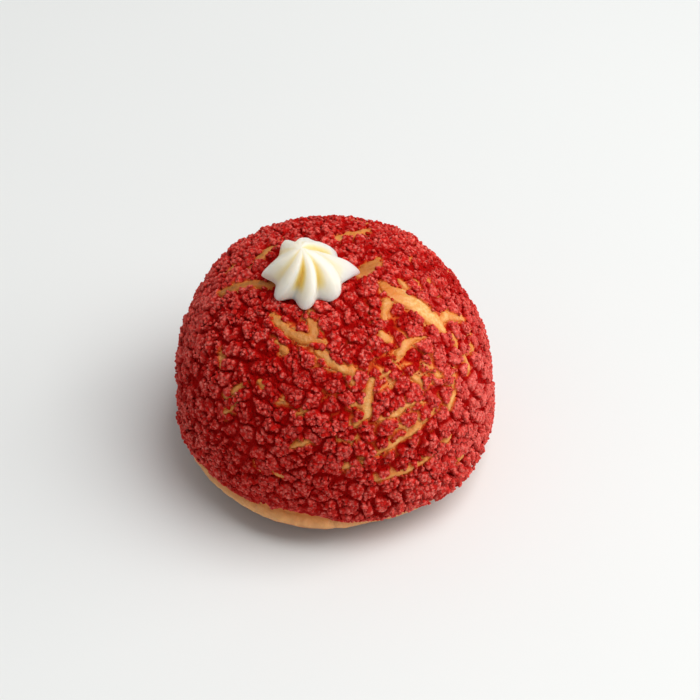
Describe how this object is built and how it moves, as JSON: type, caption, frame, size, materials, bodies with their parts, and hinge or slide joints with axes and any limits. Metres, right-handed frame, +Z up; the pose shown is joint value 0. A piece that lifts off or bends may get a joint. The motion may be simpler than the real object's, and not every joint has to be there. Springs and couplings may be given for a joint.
{
  "type": "cream puff",
  "caption": "Round cream puff with a flat foot: a golden choux bun under a cracked red craquelin crust, topped off-centre with a small piped cream star.",
  "frame": {"origin": "on the table under the middle of the bun, at the flat foot", "axes": "+Z up through the bun, -Y towards its front, +X to its right; the cream star sits towards -X and a little towards -Y of the crown"},
  "size_m": [0.0745, 0.0742, 0.0636],
  "materials": {
    "choux_bun": "baked golden-brown choux, slightly glossy",
    "craquelin_crust": "matt crumbly red biscuit",
    "cream_star": "soft satin cream"
  },
  "bodies": {
    "root": {"choux_bun": "choux_bun", "craquelin_crust": "craquelin_crust", "cream_star": "cream_star"}
  },
  "joints": []
}
